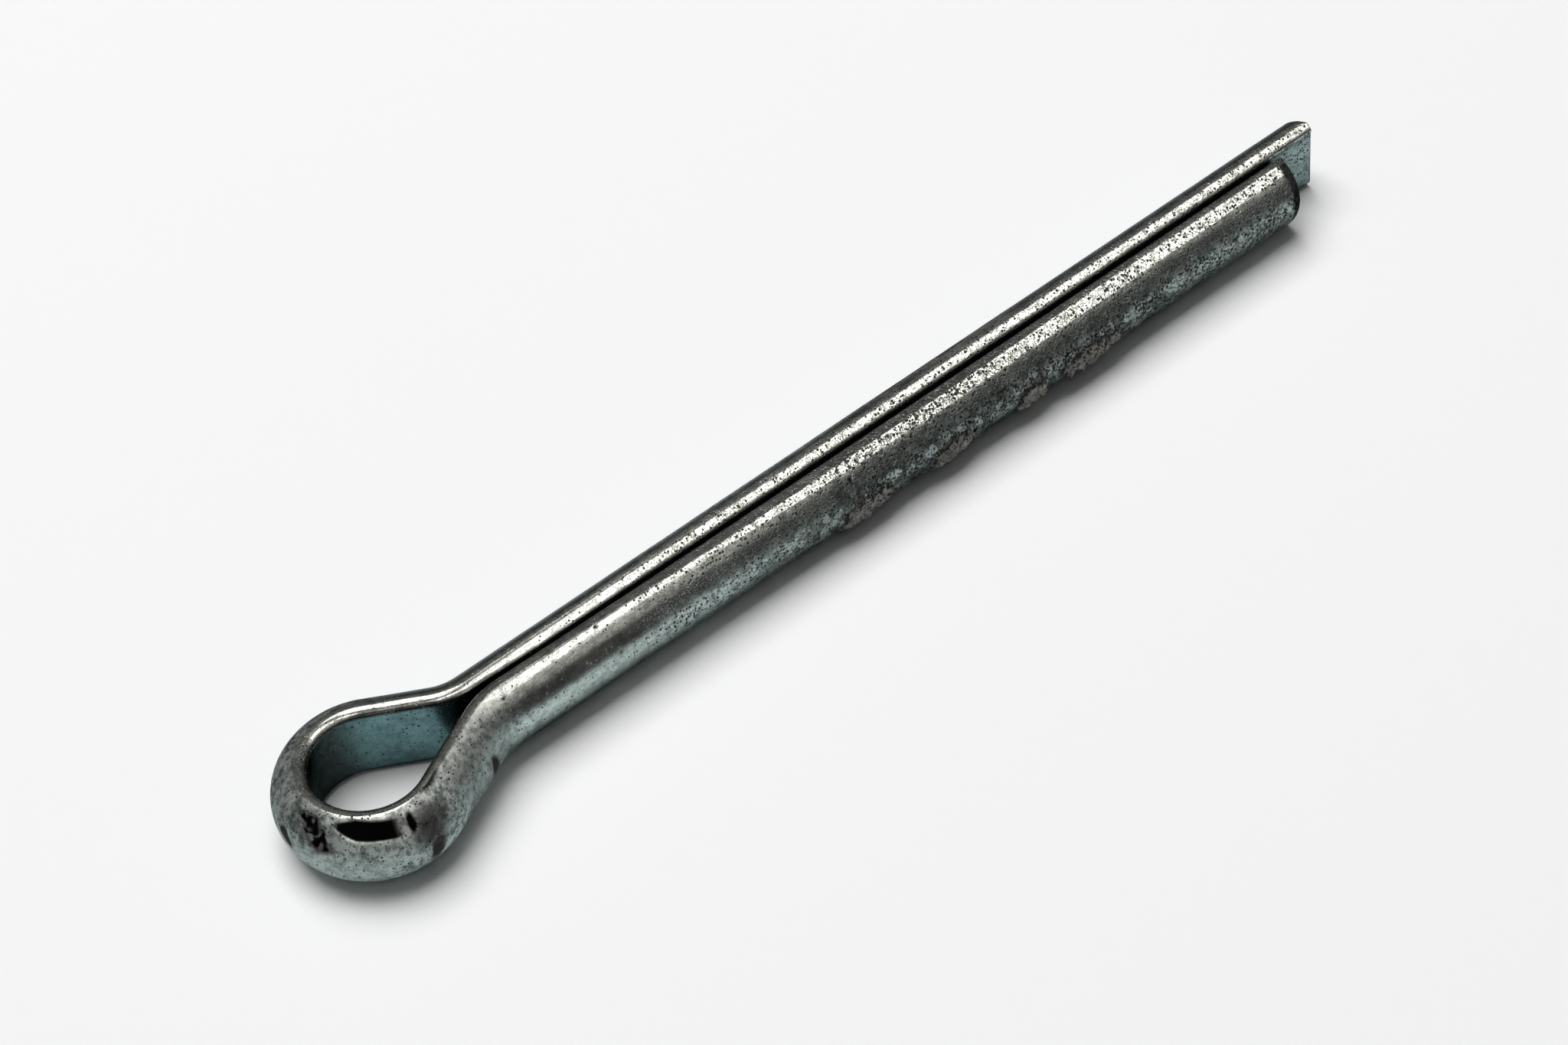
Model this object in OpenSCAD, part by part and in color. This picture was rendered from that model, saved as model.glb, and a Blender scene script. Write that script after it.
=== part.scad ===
// Split cotter pin: one length of half-round wire, bent back on itself so that its flat faces
// meet as two prongs and its middle stands open as an eye. It lies on its side on the ground
// plane, the prongs along +X and the eye at the -X end. Millimetres.

/* [Wire] */
// Width of the wire's flat face, which is also the height of the pin as it lies
wire_w = 5.9; // [5:0.1:8]
// Depth of the wire, from its flat face to its round crown
wire_t = 2.6; // [2:0.05:2.9]
// Rounding along both edges of the flat face
edge_r = 0.6; // [0.2:0.05:0.8]

/* [Prongs] */
// Straight length of the short prong, from the end of its bend to its cut end
short_len = 66.9; // [20:0.1:120]
// How far the long prong reaches past the short one
long_extra = 3.6; // [1.5:0.1:8]
// Gap left between the two flat faces
prong_gap = 0.4; // [0.1:0.05:1]
// How far the shear rolls the crown over at each cut end, towards the flat face
roll_depth = 0.3; // [0.1:0.05:0.6]
// Length of that rolled edge, along the pin
roll_len = 0.7; // [0.3:0.1:1.4]

/* [Eye] */
// Inside radius of the eye
eye_r = 3.7; // [3:0.1:6]
// Angle at which the short prong's leg leaves the pin's axis
short_angle = 26; // [20:1:36]
// Angle at which the long prong's leg leaves the pin's axis
long_angle = 31; // [20:1:36]
// Radius of the flat face where the short prong bends out to its leg
short_bend_r = 6.9; // [4:0.1:9]
// Radius of the flat face where the long prong bends out to its leg
long_bend_r = 5.3; // [4:0.1:9]

/* [Tool flat] */
// Depth of the flat that the forming tool leaves along the upper edge of the eye
flat_depth = 0.09; // [0.05:0.01:0.3]
// Where the flat begins round the eye, as the angle from the prongs' direction
flat_start = 211; // [180:1:240]
// How far the flat runs round the eye from there
flat_sweep = 53; // [10:1:60]
// Tilt of the flat, up from the outer side of the eye
flat_tilt = 52; // [30:1:70]

/* [Hidden] */
$fn = 96;

// Each leg is drawn slimmer than the bends at its two ends by let_in, and let into them by let_len
let_in = 0.02;
let_len = 0.2;

// Section of the wire: the crown is one arc that runs smoothly into both rounded edges
edge_y = wire_w / 2 - edge_r;
crown_r = (pow(wire_t - edge_r, 2) + pow(edge_y, 2) - pow(edge_r, 2)) / (2 * (wire_t - 2 * edge_r));
crown_x = wire_t - crown_r;

// Straight part of a leg, between its bend and the round of the eye
function leg_len(angle, bend_r) =
    (eye_r * cos(angle) - prong_gap / 2 - bend_r * (1 - cos(angle))) / sin(angle);

// Distance from the middle of the eye to where a prong starts to run straight
function prong_start(angle, bend_r) =
    (eye_r + bend_r) * sin(angle) + leg_len(angle, bend_r) * cos(angle);

short_end = prong_start(short_angle, short_bend_r) + short_len;
long_end = short_end + long_extra;
eye_x = (eye_r + wire_t - long_end) / 2;

// Half-round section: flat face on the Y axis, crown towards +X
module half_round(inset = 0) {
    fan_x = edge_r + 2 * wire_t;
    fan_y = edge_y * (fan_x - crown_x) / (edge_r - crown_x);
    for (side = [-1, 1])
        translate([edge_r, side * edge_y])
            circle(r = edge_r - inset);
    translate([inset, -edge_y])
        square([edge_r - inset, 2 * edge_y]);
    intersection() {
        translate([crown_x, 0])
            circle(r = crown_r - inset);
        polygon([[edge_r, -edge_y], [fan_x, -fan_y], [fan_x, fan_y], [edge_r, edge_y]]);
    }
}

// Straight wire along +X, its flat face on the XZ plane and its crown towards +Y
module straight(len, inset = 0) {
    rotate([90, 0, 90])
        linear_extrude(height = len)
            half_round(inset);
}

// Cone round the crown's own axis, which rolls the crown over up to the cut at x = len
module rolled_end(len) {
    slope = roll_depth / roll_len;
    end_r = crown_r - roll_depth;
    translate([0, crown_x, 0])
        rotate([0, 90, 0])
            cylinder(h = len, r1 = end_r + slope * len, r2 = end_r);
}

// Prong on the +Y side, with its cut end at x = end, its bend and its leg out to the eye
module prong(angle, bend_r, end) {
    start = prong_start(angle, bend_r);
    translate([start, prong_gap / 2, 0])
        intersection() {
            straight(end - start);
            rolled_end(end - start);
        }
    translate([start, prong_gap / 2 + bend_r, 0])
        rotate_extrude(start = -90 - angle, angle = angle)
            translate([bend_r, 0])
                mirror([1, 0])
                    half_round();
    rotate(-angle)
        translate([-let_len, eye_r, 0])
            straight(leg_len(angle, bend_r) + 2 * let_len, let_in);
}

// Round of the eye, from the long prong's leg right about to the short prong's leg
module eye_round() {
    rotate_extrude(start = 90 - long_angle, angle = 180 + long_angle + short_angle)
        translate([eye_r, 0])
            half_round();
}

// Ring sector whose inner wall, a cone, planes the flat off the round of the eye
module flat_tool() {
    rotate_extrude(start = flat_start, angle = flat_sweep)
        translate([eye_r + crown_x, 0])
            rotate(flat_tilt)
                translate([crown_r - flat_depth, -wire_t])
                    square([wire_t, 2 * wire_t]);
}

module cotter_pin() {
    color("silver")
        translate([eye_x, 0, wire_w / 2]) {
            difference() {
                eye_round();
                flat_tool();
            }
            prong(long_angle, long_bend_r, long_end);
            mirror([0, 1, 0])
                prong(short_angle, short_bend_r, short_end);
        }
}

cotter_pin();
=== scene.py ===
import math

import bmesh
import bpy
from mathutils import Matrix, Vector, noise


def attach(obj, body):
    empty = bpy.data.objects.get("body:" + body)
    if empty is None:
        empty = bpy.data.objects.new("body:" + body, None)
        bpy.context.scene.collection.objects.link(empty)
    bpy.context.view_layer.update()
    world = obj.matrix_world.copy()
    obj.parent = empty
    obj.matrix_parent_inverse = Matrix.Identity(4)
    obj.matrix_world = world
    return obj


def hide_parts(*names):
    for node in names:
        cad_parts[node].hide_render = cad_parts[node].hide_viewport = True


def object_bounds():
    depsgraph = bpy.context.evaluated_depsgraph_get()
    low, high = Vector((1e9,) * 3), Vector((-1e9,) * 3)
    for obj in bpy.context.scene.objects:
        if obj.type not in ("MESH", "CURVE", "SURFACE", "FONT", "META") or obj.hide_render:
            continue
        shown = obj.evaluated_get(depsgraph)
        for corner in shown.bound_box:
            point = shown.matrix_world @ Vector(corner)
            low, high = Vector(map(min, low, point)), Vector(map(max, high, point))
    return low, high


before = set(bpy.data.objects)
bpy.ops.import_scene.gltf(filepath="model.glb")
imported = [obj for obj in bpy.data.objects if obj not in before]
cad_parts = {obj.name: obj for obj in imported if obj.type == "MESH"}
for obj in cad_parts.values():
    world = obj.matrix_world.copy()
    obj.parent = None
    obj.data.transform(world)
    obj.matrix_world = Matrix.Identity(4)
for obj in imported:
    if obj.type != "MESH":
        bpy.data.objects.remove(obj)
cad_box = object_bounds()

MM = 0.001

# Section of the wire and run of the pin, in millimetres, as its solid has them
WIRE_W = 5.9
WIRE_T = 2.6
EDGE_R = 0.6
SHORT_LEN = 66.9
LONG_EXTRA = 3.6
PRONG_GAP = 0.4
EYE_R = 3.7
SHORT_ANGLE = math.radians(26)
LONG_ANGLE = math.radians(31)
SHORT_BEND_R = 6.9
LONG_BEND_R = 5.3
MID_Z = WIRE_W / 2
EDGE_Z = WIRE_W / 2 - EDGE_R
CROWN_R = ((WIRE_T - EDGE_R) ** 2 + EDGE_Z ** 2 - EDGE_R ** 2) / (2 * (WIRE_T - 2 * EDGE_R))
CROWN_X = WIRE_T - CROWN_R
EDGE_ANGLE = math.pi - math.atan2(EDGE_Z, EDGE_R - CROWN_X)
EDGE_TURN = math.degrees(EDGE_ANGLE)


def leg_len(angle, bend_r):
    """Straight part of a leg, between its bend and the round of the eye."""
    rise = EYE_R * math.cos(angle) - PRONG_GAP / 2 - bend_r * (1 - math.cos(angle))
    return rise / math.sin(angle)


def prong_start(angle, bend_r):
    """Distance from the middle of the eye to where a prong starts to run straight."""
    return (EYE_R + bend_r) * math.sin(angle) + leg_len(angle, bend_r) * math.cos(angle)


SHORT_END = prong_start(SHORT_ANGLE, SHORT_BEND_R) + SHORT_LEN
LONG_END = SHORT_END + LONG_EXTRA
EYE_X = (EYE_R + WIRE_T - LONG_END) / 2
SHORT_CUT_X = EYE_X + SHORT_END
LONG_CUT_X = EYE_X + LONG_END


def put_in_scene(name, data):
    """Puts a mesh, a light or the camera into the scene, as an object of its own."""
    made = bpy.data.objects.new(name, data)
    bpy.context.collection.objects.link(made)
    return made


def object_from(name, bm, smooth):
    """Turns what was drawn into an object."""
    mesh = bpy.data.meshes.new(name)
    bm.to_mesh(mesh)
    bm.free()
    if smooth:
        mesh.shade_smooth()
    return put_in_scene(name, mesh)


# Camera ------------------------------------------------------------------------------------

# Millimetres for the sensor and lens, metres for the rest
SENSOR_WIDTH = 36
FOCAL_LENGTH = 101.3905
CLIP_START = 0.01
CAMERA_PLACE = (-0.112463, -0.15658, 0.213651)
CAMERA_RIGHT = (0.766732, -0.637147, -0.078517)
CAMERA_UP = (0.516774, 0.540012, 0.664328)
CAMERA_BACK = (-0.380875, -0.549937, 0.743306)


def place_camera():
    data = bpy.data.cameras.new("camera")
    data.sensor_width = SENSOR_WIDTH
    data.lens = FOCAL_LENGTH
    data.clip_start = CLIP_START
    cam = put_in_scene("camera", data)
    turn = Matrix((CAMERA_RIGHT, CAMERA_UP, CAMERA_BACK)).transposed().to_4x4()
    cam.matrix_world = Matrix.Translation(CAMERA_PLACE) @ turn
    bpy.context.scene.camera = cam


place_camera()


# Wire --------------------------------------------------------------------------------------

# Spacing of the rings of vertices, in millimetres
SHORT_STEP = 0.14
EYE_STEP = 0.18
LONG_STEP = 0.26
# Close to a cut end
FINE_STEP = 0.06
FINE_LEN = 1.2
# Longer edges than this are straight runs that still have to be cut into rings
LONGEST_CUT = 1
# Number of faces across each part of the section
FLAT_CUTS = 5
EDGE_CUTS = 14
LOWER_EDGE_CUTS = 6
# Turn that each part of the crown runs to, and its number of cuts
CROWN_PARTS = ((146, 20), (214, 15), (360 - EDGE_TURN, 6))
MERGE_DIST = 1e-4
# Patches with faces half the size: from and to along the wire, from and to round its section
FINER_PATCHES = ((-7.2, 1.2, 92, 200), (-66, -42, 150, 218))
# Numbers that each vertex carries, for the shaping and the finish
# soot_and_shade carries soot and also painted shade and painted dark reflections
MARKS = ("turn", "girth", "depth", "height", "run", "dull", "soot_and_shade", "scab", "rim", "pitted", "inner",
         "grime")


def turn_on(bm, geom, angle, centre, steps, shift=(0, 0, 0), axis=(0, 0, 1)):
    """Draws geom on round centre, or along shift, and returns its last copy."""
    made = bmesh.ops.spin(bm, geom=geom, cent=centre, axis=axis, dvec=shift, angle=angle,
                          steps=steps, use_merge=False, use_duplicate=False)
    return made["geom_last"]


def part_turns(start, end, cuts):
    """Which way a part of the section faces, in degrees: 0 flat, 90 up, 180 crown, 270 down."""
    return [start + (end - start) * (i + 1) / cuts for i in range(cuts)]


def ring_of_wire(bm, marks):
    """Closed half-round section at the short prong's cut end, its crown towards -Y."""
    x = SHORT_CUT_X
    flat_y = -PRONG_GAP / 2
    along_x = (1, 0, 0)
    rise = (0, 0, 2 * EDGE_Z / FLAT_CUTS)
    first = bm.verts.new((x, flat_y, MID_Z - EDGE_Z))
    last = turn_on(bm, [first], 0, (x, 0, 0), FLAT_CUTS, rise, along_x)
    upper_edge = (x, flat_y - EDGE_R, MID_Z + EDGE_Z)
    last = turn_on(bm, last, EDGE_ANGLE, upper_edge, EDGE_CUTS, axis=along_x)
    turns = [0] * (FLAT_CUTS + 1) + part_turns(0, EDGE_TURN, EDGE_CUTS)
    for turn, cuts in CROWN_PARTS:
        angle = math.radians(turn - turns[-1])
        last = turn_on(bm, last, angle, (x, flat_y - CROWN_X, MID_Z), cuts, axis=along_x)
        turns += part_turns(turns[-1], turn, cuts)
    lower_edge = (x, flat_y - EDGE_R, MID_Z - EDGE_Z)
    turn_on(bm, last, EDGE_ANGLE, lower_edge, LOWER_EDGE_CUTS, axis=along_x)
    turns += part_turns(turns[-1], 360, LOWER_EDGE_CUTS)
    bm.verts.ensure_lookup_table()
    girth = 0
    for i, v in enumerate(bm.verts):
        if i:
            girth += (v.co - bm.verts[i - 1].co).length
        v[marks["girth"]] = girth
        v[marks["depth"]] = flat_y - v.co.y
        v[marks["height"]] = v.co.z - MID_Z
        v[marks["turn"]] = turns[i]
    bmesh.ops.remove_doubles(bm, verts=bm.verts[:], dist=MERGE_DIST)
    return bm.verts[:] + bm.edges[:]


def run_straight(bm, ring, direction, length):
    return turn_on(bm, ring, 0, (0, 0, 0), 1, Vector(direction) * length)


def run_round(bm, ring, angle, centre, radius, step):
    return turn_on(bm, ring, angle, centre, round(abs(angle) * radius / step))


def draw_wire(bm, marks):
    """Draws the section along the short prong, round the eye and out along the long prong."""
    start = ring_of_wire(bm, marks)
    # short prong, its bend and its leg
    ring = run_straight(bm, start, (-1, 0, 0), FINE_LEN)
    ring = run_straight(bm, ring, (-1, 0, 0), SHORT_LEN - FINE_LEN)
    bend = (EYE_X + prong_start(SHORT_ANGLE, SHORT_BEND_R), -PRONG_GAP / 2 - SHORT_BEND_R, 0)
    ring = run_round(bm, ring, SHORT_ANGLE, bend, SHORT_BEND_R, SHORT_STEP)
    heading = (-math.cos(SHORT_ANGLE), -math.sin(SHORT_ANGLE), 0)
    ring = run_straight(bm, ring, heading, leg_len(SHORT_ANGLE, SHORT_BEND_R))
    # eye
    eye_turn = math.pi + SHORT_ANGLE + LONG_ANGLE
    ring = run_round(bm, ring, -eye_turn, (EYE_X, 0, 0), EYE_R + WIRE_T, EYE_STEP)
    # leg, bend and prong of the long side
    heading = (math.cos(LONG_ANGLE), -math.sin(LONG_ANGLE), 0)
    ring = run_straight(bm, ring, heading, leg_len(LONG_ANGLE, LONG_BEND_R))
    bend = (EYE_X + prong_start(LONG_ANGLE, LONG_BEND_R), PRONG_GAP / 2 + LONG_BEND_R, 0)
    ring = run_round(bm, ring, LONG_ANGLE, bend, LONG_BEND_R, EYE_STEP)
    run = LONG_END - prong_start(LONG_ANGLE, LONG_BEND_R)
    ring = run_straight(bm, ring, (1, 0, 0), run - FINE_LEN)
    ring = run_straight(bm, ring, (1, 0, 0), FINE_LEN)
    return start, ring


def cut_in_rings(bm):
    """Cuts every straight run across into rings."""
    runs = {}
    for e in bm.edges:
        length = e.calc_length()
        if length > LONGEST_CUT:
            side = 1 if e.verts[0].co.y > 0 else -1
            runs.setdefault((side, round(length, 3)), []).append(e)
    for (side, length), edges in runs.items():
        step = FINE_STEP if length <= FINE_LEN else LONG_STEP if side > 0 else SHORT_STEP
        bmesh.ops.subdivide_edges(bm, edges=edges, cuts=round(length / step) - 1, use_grid_fill=True)


def cut_finer(bm, marks, low, high, turn_low, turn_high):
    """Halves the faces of a worked patch between two places along the wire."""
    inside = set()
    for v in bm.verts:
        if turn_low <= v[marks["turn"]] <= turn_high and low <= station(v.co)[0] <= high:
            inside.add(v)
    edges = [e for e in bm.edges if e.verts[0] in inside and e.verts[1] in inside]
    bmesh.ops.subdivide_edges(bm, edges=edges, cuts=1, use_grid_fill=True)


def station(co):
    """Where a point is along the wire, and which way the crown faces there."""
    if co.y < 0:
        side, angle, bend_r = -1, SHORT_ANGLE, SHORT_BEND_R
    else:
        side, angle, bend_r = 1, LONG_ANGLE, LONG_BEND_R
    x, y = co.x - EYE_X, abs(co.y)
    start = prong_start(angle, bend_r)
    leg = leg_len(angle, bend_r)
    to_leg = EYE_R * (math.pi / 2 + angle)
    past = x * math.cos(angle) - y * math.sin(angle)
    if x >= start:
        run, lean = to_leg + leg + bend_r * angle + x - start, 0
    elif past > leg:
        lean = math.atan2(start - x, PRONG_GAP / 2 + bend_r - y)
        run = to_leg + leg + bend_r * (angle - lean)
    elif past > 0:
        run, lean = to_leg + past, angle
    else:
        lean = math.pi / 2 - math.atan2(y, x)
        run = EYE_R * (lean + math.pi / 2)
    return side * run, Vector((math.sin(lean), side * math.cos(lean), 0))


# Shaping -----------------------------------------------------------------------------------

# From here on, u is the place along the wire in millimetres, measured on the flat face from the
# back of the eye, + towards the long prong's end and - towards the short one's. turn is the way the
# section faces in degrees, as in part_turns. girth is the way round the section in millimetres.
# depth is measured from the flat face, and height up from the wire's middle.


def ease(value, low, high):
    """0 up to low, 1 from high, smooth between; the other way round where low is over high."""
    t = min(1, max(0, (value - low) / (high - low)))
    return t * t * (3 - 2 * t)


def between(value, start, full, fade, end):
    """1 from full to fade, easing to 0 at start and end."""
    return ease(value, start, full) * ease(value, end, fade)


def in_patch(u, turn, along, over):
    """1 on a patch of the surface, easing to 0 at its ends along the wire and over the section."""
    return between(u, *along) * between(turn, *over)


def bump_at(value, middle, half):
    """1 at the middle, fading to 0 at half on either side."""
    return 1 - ease(abs(value - middle), 0, half)


def level(value, table):
    """Reads a table of (place, amount) rows, in straight lines between its rows."""
    if value <= table[0][0]:
        return table[0][1]
    for (a, low), (b, high) in zip(table, table[1:]):
        if value <= b:
            return low + (high - low) * (value - a) / (b - a)
    return table[-1][1]


def mix(a, b, amount):
    return [p + (q - p) * amount for p, q in zip(a, b)]


def ripple(along, over, size, seed):
    """Smooth unevenness about 0, of the given size both ways; each seed gives its own pattern."""
    return noise.noise(Vector((along / size[0], over / size[1], seed)))


def ellipse(u, turn, centre_u, centre_turn, half_u, half_turn, slant=0, soft=0.35):
    """1 inside an ellipse on the surface, 0 outside; slant shifts it along the wire as it goes over."""
    off = (turn - centre_turn) / half_turn
    along = (u - centre_u - slant * off) / half_u
    return 1 - ease(math.hypot(along, off), 1 - soft, 1 + soft)


def plane_off(depth, height, lean, reach):
    """Holds the section back to a plane that leans by so many degrees, reach from the crown's centre."""
    out, up = math.cos(math.radians(lean)), math.sin(math.radians(lean))
    over = (depth - CROWN_X) * out + height * up - reach
    if over > 0:
        depth -= over * out
        height -= over * up
    return depth, height


# Below, a span says where something starts, is full, fades and ends, by u or by turn. A patch is a
# span by u and one by turn. Tables that run by u have rows of (u, amount).

# Upper inner edge of the long prong as the rolls left it: a slope between the flat face and a
# round top. Depth and height at each of its vertices.
SLOPED_EDGE = ((0, 2.127), (-0.046, 2.214), (-0.061, 2.307), (-0.049, 2.39), (-0.021, 2.457),
               (0.020, 2.512), (0.065, 2.552), (0.16, 2.619), (0.26, 2.690), (0.355, 2.757),
               (0.41, 2.795), (0.49, 2.836), (0.59, 2.868), (0.73, 2.883), (0.885, 2.878))
# Upper inner edge of the short prong, worn to a wider round
WORN_EDGE_R = 1.05
WORN_EDGE_ANGLE = math.radians(76.3)
# How far each side's edge goes from plain to sloped or worn, by u
LONG_EDGE_SHARE = ((0, 0), (2, 0.2), (14, 0.2), (20, 1))
SHORT_EDGE_SHARE = ((-41, 1), (-26, 0.55), (-16, 0))
# How far the top of the short prong and of the eye is worn down, by u
TOP_WEAR = ((-85, 0.10), (-67, 0.135), (-60, 0.20), (-53, 0.25), (-41, 0.245), (-34, 0.18),
            (-26, 0.11), (-18, 0.05), (-12, 0.012), (-1, 0.012), (1.5, 0))
# The same for the side of its crown, and how many degrees the worn side leans
CROWN_WEAR = ((-84, 0.035), (-67, 0.075), (-52, 0.085), (-41, 0.05), (-35, 0.01), (-33, 0))
CROWN_WEAR_LEAN = ((-84, 56), (-67, 56), (-53, 55), (-41, 55.8))
# The flat face and the start of its edge aren't worn
UNWORN_TURN = 20
# Slack in telling the upper edge from the flat face, in mm
EDGE_SLACK = 0.01

# Flat that the forming tool left on the shoulder of the eye, by u: how deep it is cut, how many degrees it
# leans, and the middle and half of the turns painted black on it, as a painted dark reflection of what the
# flat mirrors
FACET_DEPTH = ((-5.25, 0), (-5.05, 0.085), (-2.7, 0.085), (-2.05, 0))
FACET_LEAN = ((-5.4, 42), (-2, 52))
FACET_TURN = ((-5.4, 138), (-2, 128))
FACET_HALF = ((-5.1, 10.5), (-3, 11.5), (-2.5, 7.5), (-1.9, 1.5))
FACET_SPAN = (-5.35, -4.6, -2.2, -1.85)
FACET_SOFT = 1.6
FACET_REACH = (105, 165)
# Rim raised along its lower side, with a painted highlight along it
RIM_SPAN = (-4.7, -4.2, -2.6, -2.2)
RIM_HALF = 3
RIM_HEIGHT = 0.02

# Dents and stains on the eye and its near leg: u and turn of the middle, half length, half turn,
# slant, softness, depth and blackness
MARKED_U = (-13, 1.5)
EYE_MARKS = (
    (-5.42, 138, 0.2, 14, 0.02, 0.35, 0.05, 1.0),       # nick at the near end of the tool's flat
    (0.25, 172, 0.34, 12, -0.25, 0.35, 0.04, 0.9),      # streak on the back of the eye
    # the crease below is painted black, as painted shade in its fold
    (-6.1, 186, 0.32, 20, 0.1, 0.3, 0.05, 0.85),        # crease where the eye turns into the leg
    (-12.1, 186, 0.42, 22, -0.2, 0.35, 0.08, 0.9),      # notch where the leg turns into the prong
    (-7.6, 109, 1.0, 13, 0, 0.4, 0.03, 0.95),           # dent in the leg's inner edge
    (-9.9, 96, 2.2, 10, 0, 0.5, 0, 0.8),                # line along that edge
    (-6.1, 150, 0.75, 30, 0.1, 0.8, 0, 0.85),           # stain past the nick
    (-1.0, 140, 0.9, 16, -0.2, 0.8, 0, 0.35),           # haze round the gouge
    (-5.3, 132, 0.6, 18, 0, 0.8, 0, 0.35))              # haze round the nick
# Ragged gouge, as three ellipses and a brighter speck in it, painted black in its hollow as painted shade
GOUGE = ((-0.72, 134, 0.6, 9, 0, 0.25), (-1.15, 143, 0.6, 11, -0.15, 0.25),
         (-1.5, 152, 0.52, 12, -0.12, 0.25))
GOUGE_SPECK = (-1.05, 149, 0.2, 3.5)
GOUGE_DEPTH = 0.09

# Single pits: u, turn, radius and depth
PITS = ((-24.2, 165.7, 0.13, 0.05), (-19.5, 190, 0.12, 0.05), (-15.7, 132, 0.12, 0.04),
        (-20.2, 113, 0.3, 0.03), (-23.4, 122, 0.14, 0.04), (-17.6, 176, 0.1, 0.03),
        (29.7, 39, 0.12, 0.03), (37.0, 20, 0.12, 0.04), (-53.0, 170.6, 0.15, 0.05),
        (-53.4, 188, 0.22, 0.05), (-56.9, 139.5, 0.14, 0.04), (-61.6, 166.6, 0.13, 0.05),
        (-60.8, 192, 0.14, 0.05), (-64.1, 167.6, 0.13, 0.05), (-43.4, 144, 0.15, 0.05),
        (-10.1, 150, 0.12, 0.03), (-9.3, 170, 0.12, 0.03), (-8.2, 160, 0.14, 0.03))
# Where a pit's floor ends and its rim starts, as shares of its radius, and its blackness by depth
PIT_FLOOR = 0.5
PIT_RIM = 1.3
PIT_SOOT = 25

# Lumps of crust: u, turn, half length and half turn
SCABS = ((-43.6, 202, 1.5, 26), (-45.2, 190, 1.0, 16), (-51.3, 200, 1.5, 24), (-52.4, 188, 0.7, 12),
         (-58.4, 196, 1.3, 20), (-62.2, 190, 1.2, 14), (-63.8, 196, 1.6, 22), (-65.6, 186, 0.8, 10))
SCAB_U = (-70, -39)
SCAB_TURN = 140
SCAB_SOFT = 0.14
SCAB_HEIGHT = 0.3
CRUST_HEIGHT = 0.11
CRUST_PATCH = (-72, -66, -42, -36), (140, 175, 215, 240)

# Ripples of the drawn and plated surface: height, size and seed
RIPPLES = ((0.012, (7, 4), 3), (0.006, (2.2, 1.4), 11))
WORN_SPAN = (-84, -76, -46, -38)
RIPPLED_SPAN = (100, 124, 236, 262)

# Where the finish changes, by u, by turn or by x. A pair says where something starts and is full.
EYE_SPAN = (-19, -11, 4, 14)
FLAT_TURN = (16, 4)
FLAT_TURN_BELOW = (290, 330)
SATIN_SPAN = (102, 126, 236, 262)
SATIN_SHORT_U, SATIN_SHORT_TURN = (-24, -34), (144, 164)
SATIN_LONG_U, SATIN_LONG_TURN = (8, 12), (128, 150)
BACK_DARK_U = (43, 51)
BACK_DARK_THICK_U = (64, 58)
BACK_DARK_SPAN = (98, 106, 146, 156)
END_DARK_X = (SHORT_CUT_X - 0.95, SHORT_CUT_X - 0.65)
END_DARK_TURN = (112, 122)
SLIT_SHADE_U = (24, 30)
SLIT_SHADE_X = (SHORT_CUT_X + 0.2, SHORT_CUT_X - 0.5)
TARNISH_PATCH = (-17, -13, -9, -7), (112, 130, 205, 225)
DARK_BAND_PATCH = (-76, -66, -36, -28), (136, 148, 157, 170)
SHADE_LINE_SPAN = (1, 4, 15, 18)
WIPED_PATCH = (-5, -3.5, 0, 2), (158, 174, 240, 250)
WIPED_LEG_SPAN = (-17, -14, -9, -7)
WIPED_LEG_TURN = (135, 150)
PITTED_SHORT_U = (-36, -44)
PITTED_NEAR_U = (-22, -30)
PITTED_LONG_U = (14, 36)
SMOOTHER_U, SMOOTHER_TURN = (-55, -61), (155, 130)
SHADED_FLAT_U = (9, 5)
PALE_FLAT_X = (SHORT_CUT_X - 0.5, SHORT_CUT_X + 0.5)
GRIME_U, GRIME_TURN = (-30, -42), (148, 168)
CLEANER_U = (-68, -74)
# Middle and half width of what fades both ways
SHADE_LINE_TURN = (8, 9)
BEND_HIGHLIGHT_U, BEND_HIGHLIGHT_TURN = (-13.8, 2.8), (119, 18)


def sloped_edge(turn):
    """Depth and height on the long prong's edge."""
    place = turn / EDGE_TURN * EDGE_CUTS
    i = min(EDGE_CUTS - 1, int(place))
    return mix(SLOPED_EDGE[i], SLOPED_EDGE[i + 1], place - i)


def worn_edge(turn):
    """Depth and height on the short prong's edge."""
    angle = WORN_EDGE_ANGLE * turn / EDGE_TURN
    return WORN_EDGE_R * (1 - math.cos(angle)), WIRE_W / 2 + WORN_EDGE_R * (math.sin(angle) - 1)


def worn_section(u, turn, girth, depth, height):
    """Depth and height on the section, once rolled, worn and flattened by the tool."""
    if turn < EDGE_TURN and height > EDGE_Z - EDGE_SLACK:
        if u < 0:
            edge, share = worn_edge(turn), level(u, SHORT_EDGE_SHARE)
        else:
            edge, share = sloped_edge(turn), level(u, LONG_EDGE_SHARE)
        depth, height = mix((depth, height), edge, share)
    if turn > UNWORN_TURN and u < TOP_WEAR[-1][0]:
        wear = level(u, TOP_WEAR) + 0.012 * ripple(u, 0, (1.7, 1), 41)
        depth, height = plane_off(depth, height, 90, WIRE_W / 2 - max(0, wear))
        wear = level(u, CROWN_WEAR)
        if wear > 0:
            reach = CROWN_R - wear + 0.006 * ripple(u, girth, (2, 1), 43)
            depth, height = plane_off(depth, height, level(u, CROWN_WEAR_LEAN), reach)
    deep = level(u, FACET_DEPTH)
    if deep and FACET_REACH[0] < turn < FACET_REACH[1]:
        depth, height = plane_off(depth, height, level(u, FACET_LEAN), CROWN_R - deep)
    return depth, height


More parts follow.
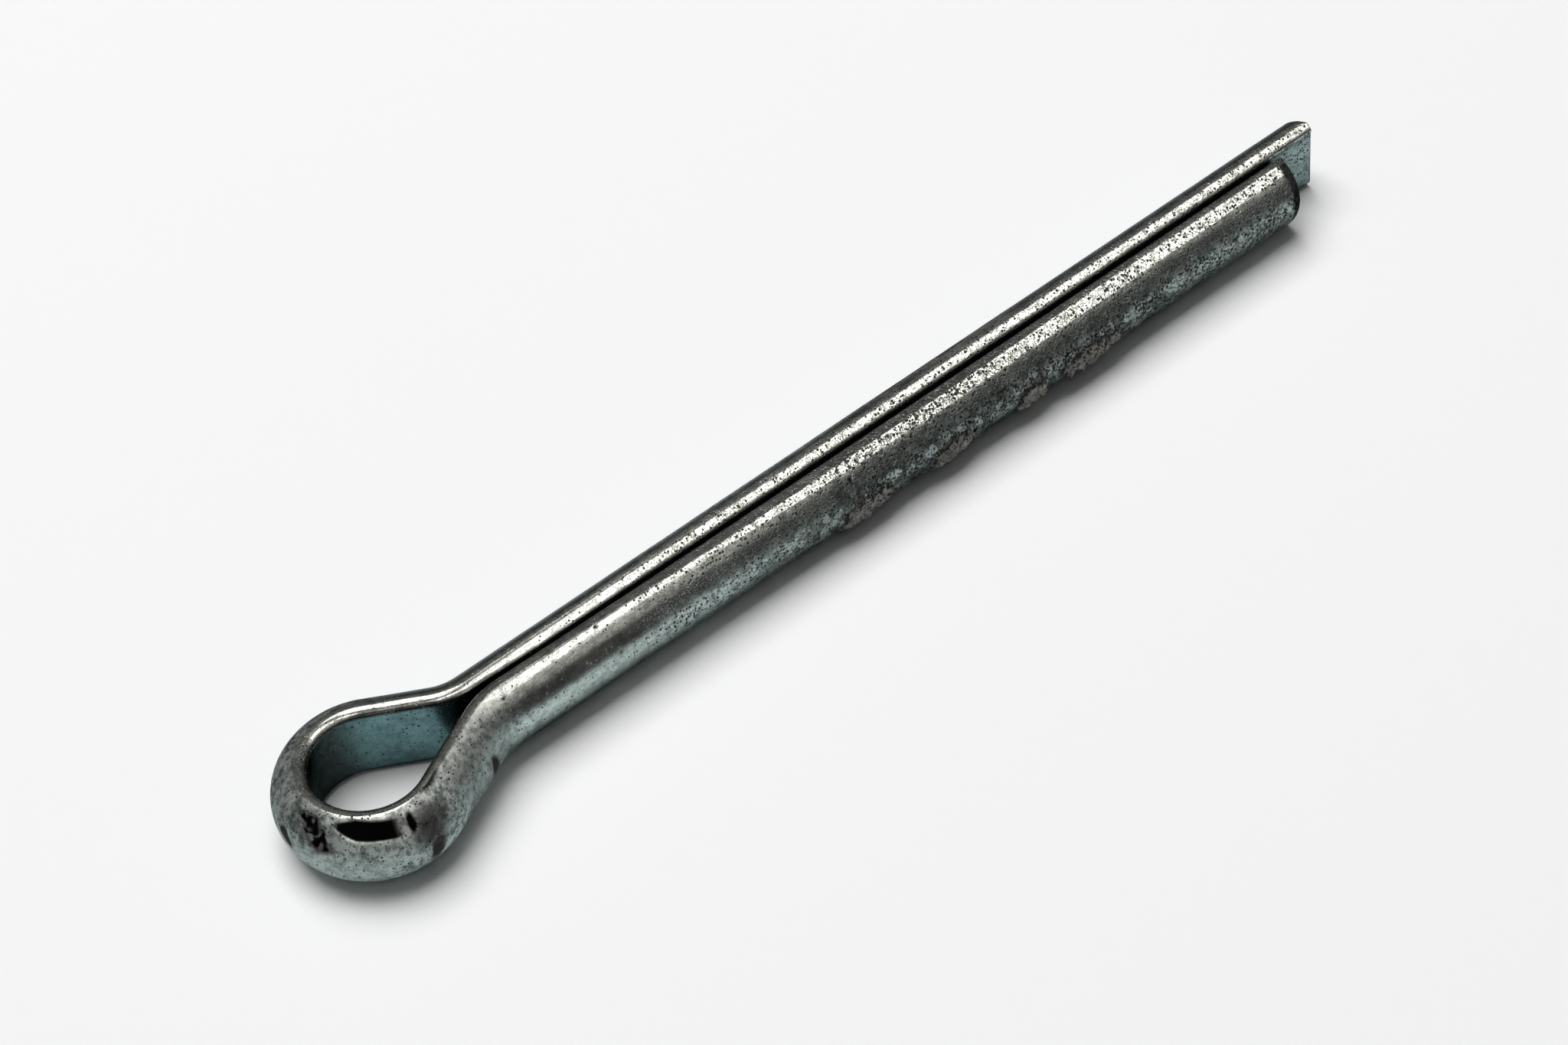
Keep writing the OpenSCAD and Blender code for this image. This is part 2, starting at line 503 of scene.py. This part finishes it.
def eye_marks(u, turn):
    """Marks on the eye and its near leg: how deep, how black (partly painted shade and a painted dark
    reflection), and how bright the painted highlight on the flat's rim is.
    """
    if not MARKED_U[0] < u < MARKED_U[1]:
        return 0, 0, 0
    facet_turn, facet_half = level(u, FACET_TURN), level(u, FACET_HALF)
    # the tool's flat is painted black: a painted dark reflection
    facet = between(u, *FACET_SPAN)
    facet *= ease(abs(turn - facet_turn), facet_half + FACET_SOFT, facet_half - FACET_SOFT)
    # painted highlight along the lower side of the tool's flat
    rim = bump_at(turn, facet_turn + facet_half + RIM_HALF, RIM_HALF)
    rim *= between(u, *RIM_SPAN)
    # the others have ragged outlines
    u += 0.12 * ripple(u, turn, (0.4, 12), 71) + 0.04 * ripple(u, turn, (0.16, 5), 73)
    turn += 2.4 * ripple(u, turn, (0.45, 10), 75) + 1.0 * ripple(u, turn, (0.18, 5), 77)
    gouge = max(ellipse(u, turn, *place) for place in GOUGE)
    gouge *= 1 - 0.6 * ellipse(u, turn, *GOUGE_SPECK)
    gouge *= 0.72 + 0.28 * ease(ripple(u, turn, (0.3, 9), 79), -0.3, 0)
    pit = GOUGE_DEPTH * gouge - RIM_HEIGHT * rim
    # black on the tool's flat is a painted dark reflection, and in the gouge it is painted shade
    soot_and_shade = max(facet, gouge)
    for *place, deep, black in EYE_MARKS:
        there = ellipse(u, turn, *place)
        pit += deep * there
        soot_and_shade = max(soot_and_shade, black * there)
    return pit, soot_and_shade, rim


def pits_at(u, turn):
    """Depth of the single pits."""
    deepest = 0
    for pit_u, pit_turn, radius, deep in PITS:
        if abs(u - pit_u) < 2 * radius:
            off = math.hypot(u - pit_u, math.radians(turn - pit_turn) * CROWN_R)
            deepest = max(deepest, deep * (1 - ease(off, PIT_FLOOR * radius, PIT_RIM * radius)))
    return deepest


def scab_at(u, turn):
    """1 on the ragged lumps of crust along the lower side of the short prong."""
    if turn <= SCAB_TURN or not SCAB_U[0] < u < SCAB_U[1]:
        return 0
    u += 0.35 * ripple(u, turn, (0.5, 12), 51) + 0.15 * ripple(u, turn, (0.2, 5), 53)
    turn += 9 * ripple(u, turn, (0.6, 10), 55) + 4 * ripple(u, turn, (0.22, 5), 59)
    return max(ellipse(u, turn, *lump, 0, SCAB_SOFT) for lump in SCABS)


def drawn_ripples(u, turn, girth):
    """Unevenness of the drawn and plated surface, rougher where the short prong is worn."""
    high = sum(deep * ripple(u, girth, size, seed) for deep, size, seed in RIPPLES)
    high += (0.003 + 0.002 * between(u, *WORN_SPAN)) * ripple(u, girth, (0.9, 0.6), 23)
    return high * (0.35 + 0.65 * between(turn, *RIPPLED_SPAN))


def crust_at(u, turn, girth, scab):
    """Height of the crust low on the short prong, and of the lumps that stand out of it."""
    crust = in_patch(u, turn, *CRUST_PATCH) * (0.8 + 0.5 * ripple(u, girth, (1.2, 0.9), 63))
    lumps = scab * (0.75 + 0.7 * ripple(u, girth, (0.4, 0.35), 61))
    return CRUST_HEIGHT * crust + SCAB_HEIGHT * lumps


def flat_at(turn):
    """1 on the flat face, 0 on the crown."""
    return ease(turn, *FLAT_TURN) if turn < 180 else ease(turn, *FLAT_TURN_BELOW)


def dull_at(u, turn, eye):
    """How satin the crown is: on the eye, and less so along both prongs."""
    short_prong = 0.3 * ease(u, *SATIN_SHORT_U) * ease(turn, *SATIN_SHORT_TURN)
    long_prong = 0.5 * ease(u, *SATIN_LONG_U) * ease(turn, *SATIN_LONG_TURN)
    return between(turn, *SATIN_SPAN) * max(eye, short_prong, long_prong)


def back_darkening(u, turn, girth):
    """Darkens the top behind the middle of the long prong, less towards its end."""
    uneven = 0.75 + 0.25 * ripple(u, girth, (1.6, 0.7), 67)
    along = ease(u, *BACK_DARK_U) * (0.3 + 0.7 * ease(u, *BACK_DARK_THICK_U))
    return uneven * along * between(turn, *BACK_DARK_SPAN)


def end_painted_dark(u, x, turn, girth):
    """Painted dark reflection with a ragged edge round the short prong's end."""
    if u >= 0:
        return 0
    ragged_x = x + 0.1 * ripple(girth, 0, (0.5, 1), 81)
    return 0.9 * ease(ragged_x, *END_DARK_X) * ease(turn, *END_DARK_TURN)


def slit_painted_shade(u, x, flat):
    """Painted shade in the slit, from a way past the bends to the short prong's end."""
    return 0.9 * flat * ease(abs(u), *SLIT_SHADE_U) * ease(x, *SLIT_SHADE_X)


def tarnish_and_band_at(u, turn, girth, bend_highlight):
    """Tarnish on the near leg, and a darker band along the middle of the short prong."""
    tarnish = 0.3 * (1 - bend_highlight) * in_patch(u, turn, *TARNISH_PATCH)
    dark_band = 0.36 * in_patch(u, turn, *DARK_BAND_PATCH) * (0.8 + 0.5 * ripple(u, girth, (2.2, 0.8), 83))
    return max(tarnish, dark_band)


def painted_shade_line(u, turn):
    """Painted shade: a dark line along the far side's upper edge, from the eye to the bend."""
    return 0.6 * bump_at(turn, *SHADE_LINE_TURN) * between(u, *SHADE_LINE_SPAN)


def bend_highlight_at(u, turn):
    """1 where a painted highlight lies on the short prong's bend."""
    return bump_at(u, *BEND_HIGHLIGHT_U) * bump_at(turn, *BEND_HIGHLIGHT_TURN)


def wiped_and_highlight_at(u, turn, bend_highlight):
    """How pale the plating is wiped low on the back of the eye and on the near leg, and the painted
    highlight at the short prong's bend.
    """
    leg = 0.3 * between(u, *WIPED_LEG_SPAN) * ease(turn, *WIPED_LEG_TURN)
    return max(0.6 * in_patch(u, turn, *WIPED_PATCH), leg, 0.8 * bend_highlight)


def pitted_at(u, turn, eye):
    """How closely the surface is pitted, most of all towards the short prong's end."""
    smoother = ease(u, *SMOOTHER_U) * ease(turn, *SMOOTHER_TURN)
    short_end = 0.9 * ease(u, *PITTED_SHORT_U) * (1 - 0.45 * smoother)
    return max(0.25, 0.35 * eye, short_end, 0.65 * ease(u, *PITTED_NEAR_U), 0.58 * ease(u, *PITTED_LONG_U))


def inner_at(u, x, flat):
    """Finish of the flat face: 0.6 is teal, 1 is dark teal painted as shade at the back of the eye, and
    less shows the crown's own finish.
    """
    return flat * (0.6 + 0.4 * ease(u, *SHADED_FLAT_U) - 0.3 * ease(x, *PALE_FLAT_X))


def grime_at(u, turn):
    """How much dirt lies over the short prong, most of it on its lower half."""
    return (ease(u, *GRIME_U) * (0.2 + 0.8 * ease(turn, *GRIME_TURN))
            * (1 - 0.4 * ease(u, *CLEANER_U)))


def dress(bm, marks):
    """Shapes the drawn wire, and notes on each vertex what the finish reads there."""
    pushes = []
    for v in bm.verts:
        x = v.co.x
        u, out = station(v.co)
        turn, girth = v[marks["turn"]], v[marks["girth"]]
        depth, height = v[marks["depth"]], v[marks["height"]]
        new_depth, new_height = worn_section(u, turn, girth, depth, height)
        v.co += out * (new_depth - depth) + Vector((0, 0, new_height - height))

        pit, eye_black_and_shade, rim = eye_marks(u, turn)
        single = pits_at(u, turn)
        scab = scab_at(u, turn)
        push = drawn_ripples(u, turn, girth) + crust_at(u, turn, girth, scab) - pit - single
        face = math.radians(turn)
        normal = out * -math.cos(face) + Vector((0, 0, math.sin(face)))
        pushes.append((v, normal * push))

        eye = between(u, *EYE_SPAN)
        flat = flat_at(turn)
        bend_highlight = bend_highlight_at(u, turn)
        # black marks: soot, and painted shade in the slit, along the far upper edge and in the eye's
        # hollows, and painted dark reflections on the tool's flat and the short prong's end
        soot_and_shade = max(eye_black_and_shade, back_darkening(u, turn, girth), end_painted_dark(u, x, turn, girth),
                   slit_painted_shade(u, x, flat), tarnish_and_band_at(u, turn, girth, bend_highlight), painted_shade_line(u, turn))
        v[marks["run"]] = u
        v[marks["dull"]] = max(dull_at(u, turn, eye) * (1 - soot_and_shade), scab)
        v[marks["soot_and_shade"]] = max(soot_and_shade, min(1, single * PIT_SOOT))
        v[marks["scab"]] = scab
        v[marks["rim"]] = max(rim, wiped_and_highlight_at(u, turn, bend_highlight))
        v[marks["pitted"]] = pitted_at(u, turn, eye)
        v[marks["inner"]] = inner_at(u, x, flat)
        v[marks["grime"]] = grime_at(u, turn)
    for v, push in pushes:
        v.co += push


# How a cut end is rolled over: how deep at the cut, and over what length of wire
ROLL_DEPTH = 0.3
ROLL_LEN = 0.7
# Size of each ring of a cut face against the one outside it, and how much of the soot and painted dark it
# keeps of that one's
END_RINGS = (0.93, 0.84, 0.8, 0.75, 0.66, 0.5)
END_DARK_KEPT = 0.5


def roll_ends(bm):
    """Rolls the crown over at both cut ends."""
    for end_x, side in ((SHORT_CUT_X, -1), (LONG_CUT_X, 1)):
        axis_y = side * (PRONG_GAP / 2 + CROWN_X)
        for v in bm.verts:
            if v.co.y * side < 0 or v.co.x < end_x - ROLL_LEN:
                continue
            near = (v.co.x - (end_x - ROLL_LEN)) / ROLL_LEN
            limit = CROWN_R - ROLL_DEPTH * near ** 2
            out = Vector((v.co.y - axis_y, v.co.z - MID_Z))
            if out.length > limit:
                out *= limit / out.length
                v.co.y = axis_y + out.x
                v.co.z = MID_Z + out.y


def close_end(bm, edges, soot_and_shade):
    """Cut end of a prong, in rings of faces that close in on its middle, each with less of the soot and
    painted dark.
    """
    rim = dict.fromkeys(v for e in edges for v in e.verts)
    middle = sum((v.co for v in rim), Vector()) / len(rim)
    around = Matrix.Translation(-middle)
    for size in END_RINGS:
        made = bmesh.ops.extrude_edge_only(bm, edges=edges)["geom"]
        edges = [e for e in made if isinstance(e, bmesh.types.BMEdge) and e.is_boundary]
        ring = [v for v in made if isinstance(v, bmesh.types.BMVert)]
        bmesh.ops.scale(bm, vec=(size, size, size), space=around, verts=ring)
        for v in ring:
            v[soot_and_shade] *= END_DARK_KEPT
    bmesh.ops.contextual_create(bm, geom=edges)


def keep_inside(bm):
    """Holds every vertex within the solid's own box, so the pin lies flat on the ground."""
    low, high = (Vector(corner) / MM for corner in cad_box)
    for v in bm.verts:
        v.co = [min(high[i], max(low[i], v.co[i])) for i in range(3)]


def make_pin():
    bm = bmesh.new()
    marks = {name: bm.verts.layers.float.new(name) for name in MARKS}
    rims = [[e for e in ring if isinstance(e, bmesh.types.BMEdge)] for ring in draw_wire(bm, marks)]
    cut_in_rings(bm)
    for worked in FINER_PATCHES:
        cut_finer(bm, marks, *worked)
    dress(bm, marks)
    roll_ends(bm)
    for rim in rims:
        close_end(bm, rim, marks["soot_and_shade"])
    keep_inside(bm)
    bmesh.ops.recalc_face_normals(bm, faces=bm.faces[:])
    bmesh.ops.scale(bm, vec=(MM, MM, MM), verts=bm.verts[:])
    return object_from("pin_wire", bm, smooth=True)


# Finishes ----------------------------------------------------------------------------------

class Value:
    """A value in a finish. Arithmetic on it adds Math nodes."""

    def __init__(self, finish, socket):
        self.finish = finish
        self.socket = socket

    def math(self, operation, *numbers, clamp=False):
        return self.finish.node("ShaderNodeMath", {"operation": operation, "use_clamp": clamp},
                                dict(enumerate(numbers)))

    def __add__(self, other):
        return self.math("ADD", self, other)

    def __radd__(self, other):
        return self.math("ADD", other, self)

    def __sub__(self, other):
        return self.math("SUBTRACT", self, other)

    def __rsub__(self, other):
        return self.math("SUBTRACT", other, self)

    def __mul__(self, other):
        return self.math("MULTIPLY", self, other)

    def __rmul__(self, other):
        return self.math("MULTIPLY", other, self)

    def clamp(self):
        return self.math("ADD", self, 0, clamp=True)


class Finish:
    """A material and its nodes."""

    def __init__(self, name):
        self.material = bpy.data.materials.new(name)
        self.material.use_nodes = True
        self.tree = self.material.node_tree
        self.tree.nodes.clear()

    def node(self, kind, settings=None, sockets=None, out=0):
        made = self.tree.nodes.new(kind)
        for key, value in (settings or {}).items():
            setattr(made, key, value)
        for key, value in (sockets or {}).items():
            socket = made.inputs[key]
            if isinstance(value, Value):
                self.tree.links.new(value.socket, socket)
            else:
                socket.default_value = value
        return Value(self, made.outputs[out] if made.outputs else None)

    def place_on_object(self):
        """Place in metres, from the object's own origin."""
        return self.node("ShaderNodeTexCoord", out="Object")

    def ramp(self, value, low, high):
        """0 up to low, 1 from high, smooth between."""
        return self.node("ShaderNodeMapRange", {"interpolation_type": "SMOOTHSTEP"},
                         {"Value": value, "From Min": low, "From Max": high})

    def blend(self, amount, colour_a, colour_b):
        return self.node("ShaderNodeMix", {"data_type": "RGBA"}, {0: amount, 6: colour_a, 7: colour_b},
                         out=2)

    def noise(self, place, scale, detail, roughness, out=0):
        sockets = {"Vector": place, "Scale": scale, "Detail": detail, "Roughness": roughness}
        return self.node("ShaderNodeTexNoise", {}, sockets, out)

    def cells(self, place, scale, feature="F1", out=0):
        return self.node("ShaderNodeTexVoronoi", {"feature": feature}, {"Vector": place, "Scale": scale},
                         out)

    def lot(self, place, scale):
        """One value for each cell, drawn from its colour."""
        colour = self.cells(place, scale, out="Color")
        return self.node("ShaderNodeSeparateColor", {}, {"Color": colour})

    def mark(self, name):
        """Reads one of the marks that the mesh carries."""
        return self.node("ShaderNodeAttribute", {"attribute_name": name}, out="Fac")

    def pits(self, place, scale, radius, amount):
        """Round pits of uneven size; amount, from 0 to 1, says how many."""
        lot = self.lot(place, scale)
        size = radius * (0.5 + lot)
        there = 1 - self.ramp(lot, amount - 0.1, amount)
        return (1 - self.ramp(self.cells(place, scale), size, size * 1.8)) * there

    def surface(self, shader):
        self.node("ShaderNodeOutputMaterial", {}, {"Surface": shader})
        return self.material


# Colours of the pin, from dark to pale where there are two
BRIGHT = (0.22, 0.23, 0.215, 1), (0.52, 0.53, 0.50, 1)
SATIN = (0.14, 0.155, 0.15, 1), (0.62, 0.66, 0.645, 1)
GRIME = (0.04, 0.04, 0.036, 1), (0.36, 0.37, 0.35, 1)
CRUST = (0.14, 0.138, 0.126, 1), (0.42, 0.414, 0.38, 1)
TEAL = (0.17, 0.26, 0.27, 1)
PAINTED_SHADE_TEAL = (0.065, 0.075, 0.073, 1)
# Pale of wiped plating, also used for the painted highlights on the tool flat's rim and the bend
WIPED_AND_HIGHLIGHT = (0.6, 0.62, 0.58, 1)
PIT = (0.025, 0.027, 0.024, 1)
# Black for soot, and for the painted shade and painted dark reflections that share its mark
SOOT_AND_SHADE_BLACK = (0.002, 0.002, 0.002, 1)
BLACK = (0, 0, 0, 1)
# Darkens what the metal mirrors at a glancing angle
GLANCING = (0.4, 0.4, 0.4, 1)
FLAKE_SCALE = 1.6


def plated_steel():
    """Zinc plating on drawn wire, dulled, pitted, crusted and sooty where its marks say, with painted
    shade, painted dark reflections and painted highlights where its marks say so too.
    """
    f = Finish("plated_steel")
    mm = f.node("ShaderNodeVectorMath", {"operation": "SCALE"}, {0: f.place_on_object(), "Scale": 1 / MM})
    dull, soot_and_shade, scab, rim = (f.mark(name) for name in ("dull", "soot_and_shade", "scab", "rim"))
    pitted, inner, grime = (f.mark(name) for name in ("pitted", "inner", "grime"))

    # patterns
    cloud = f.noise(mm, scale=0.7, detail=4, roughness=0.6)
    patches = f.noise(mm, scale=2.2, detail=5, roughness=0.7)
    grain = f.noise(mm, scale=9.0, detail=3, roughness=0.75)
    along = f.node("ShaderNodeCombineXYZ", {}, {"X": f.mark("run") * 0.5, "Y": f.mark("girth") * 7})
    streak = f.noise(along, scale=1.0, detail=3, roughness=0.6)
    tone = cloud * 0.25 + patches * 0.35 + grain * 0.25 + streak * 0.15
    mottle = patches * 0.65 + grain * 0.15 + cloud * 0.2
    fine = f.pits(mm, scale=4.6, radius=0.32, amount=pitted * f.ramp(cloud, 0.2, 0.55))
    coarse = f.pits(mm, scale=1.7, radius=0.13, amount=pitted * 0.7)
    flecks = (1 - f.ramp(grain * 0.75 + patches * 0.25, 0.42, 0.47)) * pitted * pitted

    # plating, bright or satin
    bright = f.blend(f.ramp(tone, 0.40, 0.60), *BRIGHT)
    satin = f.blend(f.ramp(mottle, 0.40, 0.58), *SATIN)
    colour = f.blend(dull, bright, satin)

    # flaking dirt, with cracks between its flakes
    shift = f.noise(mm, scale=3.0, detail=3, roughness=0.5, out="Color")
    torn = f.node("ShaderNodeVectorMath", {"operation": "MULTIPLY_ADD"},
                  {0: shift, 1: (0.5, 0.5, 0.5), 2: mm})
    flake = f.lot(torn, FLAKE_SCALE)
    dirt = f.blend(f.ramp(flake * 0.5 + patches * 0.5, 0.35, 0.65), *GRIME)
    colour = f.blend(grime * 0.75, colour, dirt)
    crack = f.cells(torn, FLAKE_SCALE, "DISTANCE_TO_EDGE")
    lines = (1 - f.ramp(crack, 0.015, 0.06)) * grime

    # flat face, with painted shade at the back of the eye
    teal = f.blend(f.ramp(inner, 0.6, 1.0), TEAL, PAINTED_SHADE_TEAL)
    teal = f.blend(f.ramp(tone, 0.38, 0.62), f.blend(0.5, teal, BLACK), teal)
    colour = f.blend(f.ramp(inner, 0.0, 0.6), colour, teal)

    # wiped places and painted highlights, lumps of crust, pits, and soot with painted shade and painted
    # dark reflections over all of it
    colour = f.blend(rim * 0.8, colour, WIPED_AND_HIGHLIGHT)
    colour = f.blend(scab, colour, f.blend(f.ramp(tone, 0.40, 0.60), *CRUST))
    spot = fine.math("MAXIMUM", fine, coarse)
    dark = (spot * 0.9 + flecks * 0.7 + lines * (1 - scab) * 0.8 + scab * (1 - scab) * 3).clamp()
    colour = f.blend(dark, colour, PIT)
    colour = f.blend(soot_and_shade, colour, SOOT_AND_SHADE_BLACK)

    rough = 0.12 + tone * 0.10 + grime * grime * 0.08 + dull * (dull * 0.4 + patches * 0.13)
    rough = (rough + dark * 0.3 + scab * 0.3 + soot_and_shade * 0.2).clamp()
    metal = (1 - f.ramp(soot_and_shade, 0.4, 0.9) - dark * 0.5 - scab * 0.5).clamp()
    height = grain * (0.003 + dull * 0.014) + patches * (0.006 + dull * 0.022)
    height = height + streak * 0.002 - dark * 0.03
    bump = f.node("ShaderNodeBump", {}, {"Height": height, "Strength": 1.0, "Distance": MM})
    return f.surface(f.node("ShaderNodeBsdfPrincipled", {}, {
        "Base Color": colour, "Metallic": metal, "Roughness": rough, "Normal": bump,
        "Specular IOR Level": 0.0, "Specular Tint": GLANCING}))


pin = make_pin()
pin.data.materials.append(plated_steel())
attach(pin, "root")
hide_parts("cotter_pin")


# Floor and light ---------------------------------------------------------------------------

# Metres. The backdrop is a round wall that stands on the floor, all the way round the pin.
FLOOR_HALF = 1.5
BACKDROP_RADIUS = 0.62
BACKDROP_HEIGHT = 1.2
BACKDROP_SIDES = 96
# The card lies just over the floor and takes its place in what the metal mirrors
CARD_HALF = 0.4
CARD_LIFT = 0.00001
# The card is painted pale within LIT of a line through the pin, and dark from UNLIT on, as a painted pool
# of light
CARD_LINE_HALF = 0.040
CARD_LIT = 0.008
CARD_UNLIT = 0.022

WHITE = (0.9, 0.9, 0.9, 1)
CARD_DARK = (0.08, 0.08, 0.08, 1)
CARD_PALE = (0.80, 0.95, 0.96, 1)
WORLD_COLOUR = (1.0, 0.98, 0.94, 1)
WORLD_STRENGTH = 0.08


def floor_white():
    f = Finish("floor_white")
    return f.surface(f.node("ShaderNodeBsdfPrincipled", {}, {
        "Base Color": WHITE, "Roughness": 0.9, "Specular IOR Level": 0.0}))


def backdrop_white():
    f = Finish("backdrop_white")
    return f.surface(f.node("ShaderNodeEmission", {}, {"Color": WHITE, "Strength": 1.0}))


def floor_card():
    """Floor as the metal sees it, with a painted pool of light: pale close to the pin, dark further off.
    """
    f = Finish("floor_card")
    x = f.node("ShaderNodeSeparateXYZ", {}, {"Vector": f.place_on_object()}, out="X")
    y = f.node("ShaderNodeSeparateXYZ", {}, {"Vector": f.place_on_object()}, out="Y")
    away_x = x.math("MAXIMUM", x.math("ABSOLUTE", x) - CARD_LINE_HALF, 0)
    away = x.math("SQRT", away_x * away_x + y * y)
    colour = f.blend(1 - f.ramp(away, CARD_LIT, CARD_UNLIT), CARD_DARK, CARD_PALE)
    return f.surface(f.node("ShaderNodeBsdfDiffuse", {}, {"Color": colour}))


def stage_piece(name, bm, smooth, finish):
    """Turns what was drawn into a part of the studio."""
    made = object_from(name, bm, smooth)
    made.data.materials.append(finish)
    return made


def flat_sheet(name, half, lift, finish):
    bm = bmesh.new()
    bmesh.ops.create_grid(bm, x_segments=4, y_segments=4, size=half)
    bmesh.ops.translate(bm, vec=(0, 0, lift), verts=bm.verts[:])
    return stage_piece(name, bm, False, finish)


def round_wall(name, radius, height, finish):
    bm = bmesh.new()
    bmesh.ops.create_cone(bm, cap_ends=False, segments=BACKDROP_SIDES, radius1=radius, radius2=radius,
                          depth=height)
    bmesh.ops.translate(bm, vec=(0, 0, height / 2), verts=bm.verts[:])
    bmesh.ops.reverse_faces(bm, faces=bm.faces[:])
    return stage_piece(name, bm, True, finish)


def from_pin(azimuth, elevation):
    """Direction from the pin, azimuth from +X towards +Y, in degrees."""
    az, el = math.radians(azimuth), math.radians(elevation)
    return Vector((math.cos(az) * math.cos(el), math.sin(az) * math.cos(el), math.sin(el)))


def softbox(name, azimuth, elevation, width, height, radiance, colour, distance=1.0, glossy=True,
            diffuse=True):
    """Area light that looks at the pin; width and height are the angles that it fills, in degrees."""
    data = bpy.data.lights.new(name, "AREA")
    data.shape = "RECTANGLE"
    data.size = 2 * distance * math.tan(math.radians(width / 2))
    data.size_y = 2 * distance * math.tan(math.radians(height / 2))
    data.energy = radiance * math.pi * data.size * data.size_y
    data.color = colour
    light = put_in_scene(name, data)
    direction = from_pin(azimuth, elevation)
    turn = direction.to_track_quat("Z", "Y").to_matrix().to_4x4()
    light.matrix_world = Matrix.Translation(direction * distance) @ turn
    light.visible_glossy = glossy
    light.visible_diffuse = diffuse


floor = flat_sheet("floor", FLOOR_HALF, 0, floor_white())
floor.visible_glossy = False
backdrop = round_wall("backdrop", BACKDROP_RADIUS, BACKDROP_HEIGHT, backdrop_white())
backdrop.visible_diffuse = False
backdrop.visible_glossy = False
backdrop.visible_shadow = False
card = flat_sheet("floor_card", CARD_HALF, CARD_LIFT, floor_card())
card.visible_camera = False
card.visible_diffuse = False
card.visible_shadow = False

# Mirrored by the pin only
softbox("key_softbox", azimuth=-75, elevation=54, width=60, height=10, radiance=3.85,
        colour=(1.0, 0.97, 0.92), diffuse=False)
softbox("side_softbox", azimuth=-34, elevation=57, width=20, height=14, radiance=3.4,
        colour=(1.0, 0.98, 0.95), diffuse=False)
softbox("key_skirt", azimuth=-72, elevation=43, width=76, height=38, radiance=0.5,
        colour=(1.0, 0.98, 0.94), distance=1.2, diffuse=False)
softbox("top_softbox", azimuth=140, elevation=84, width=36, height=30, radiance=4.95,
        colour=(1.0, 0.985, 0.96), diffuse=False)
softbox("back_card", azimuth=55, elevation=48, width=60, height=40, radiance=0.08,
        colour=(0.95, 1.0, 0.98), distance=1.2, diffuse=False)
softbox("side_card", azimuth=150, elevation=28, width=100, height=34, radiance=0.18,
        colour=(0.95, 1.0, 0.98), distance=1.2, diffuse=False)
# Light on the floor, and never mirrored
softbox("floor_key", azimuth=90, elevation=73, width=40, height=44, radiance=5.85,
        colour=(0.995, 0.995, 1.0), distance=1.2, glossy=False)
softbox("floor_fill", azimuth=90, elevation=90, width=100, height=100, radiance=0.22,
        colour=(1.0, 1.0, 1.0), distance=1.3, glossy=False)

# Dim even light all round, for what the pin mirrors
world = bpy.data.worlds.new("studio")
bpy.context.scene.world = world
world.use_nodes = True
background = world.node_tree.nodes["Background"]
background.inputs["Color"].default_value = WORLD_COLOUR
background.inputs["Strength"].default_value = WORLD_STRENGTH
world.cycles_visibility.diffuse = False
bpy.context.scene.view_settings.view_transform = "Standard"

bpy.context.view_layer.update()
